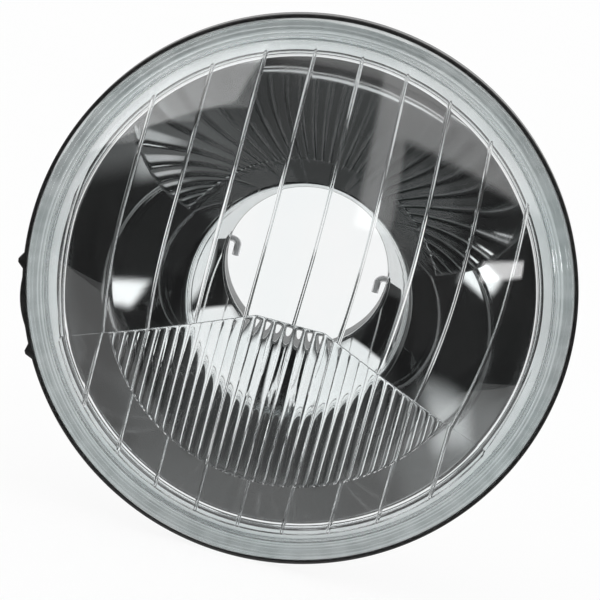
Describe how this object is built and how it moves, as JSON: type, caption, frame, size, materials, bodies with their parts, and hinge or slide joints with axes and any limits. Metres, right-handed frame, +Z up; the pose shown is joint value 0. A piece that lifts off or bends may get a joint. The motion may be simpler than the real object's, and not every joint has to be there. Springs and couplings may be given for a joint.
{
  "type": "round motorcycle headlight insert",
  "caption": "Round headlight insert: domed fluted glass lens sealed into a parabolic steel reflector with a black rim, an open bulb hole and a wire bail behind.",
  "frame": {"origin": "on the optical axis, in the plane of the rim's rear face", "axes": "+Y along the optical axis towards the bulb, the glass faces -Y, +Z up as fitted, +X to the right seen from the front"},
  "size_m": [0.1466, 0.084, 0.146],
  "materials": {
    "lens_glass": "clear pressed glass",
    "sealant": "pale silicone sealant",
    "reflector_steel": "black lacquer outside, bright mirror inside",
    "seat_steel": "black lacquer",
    "spring_wire": "bright plated spring wire"
  },
  "bodies": {
    "lamp": {"lens": "lens_glass", "lens_seal": "sealant", "reflector": "reflector_steel", "bulb_collar": "seat_steel"},
    "bail": {"bulb_bail": "spring_wire"}
  },
  "joints": [
    {"name": "bail_hinge", "type": "hinge", "parent": "lamp", "child": "bail", "pos_m": [0, 0.05244, 0], "axis": [1, 0, 0], "range_deg": [-20, 200]}
  ]
}
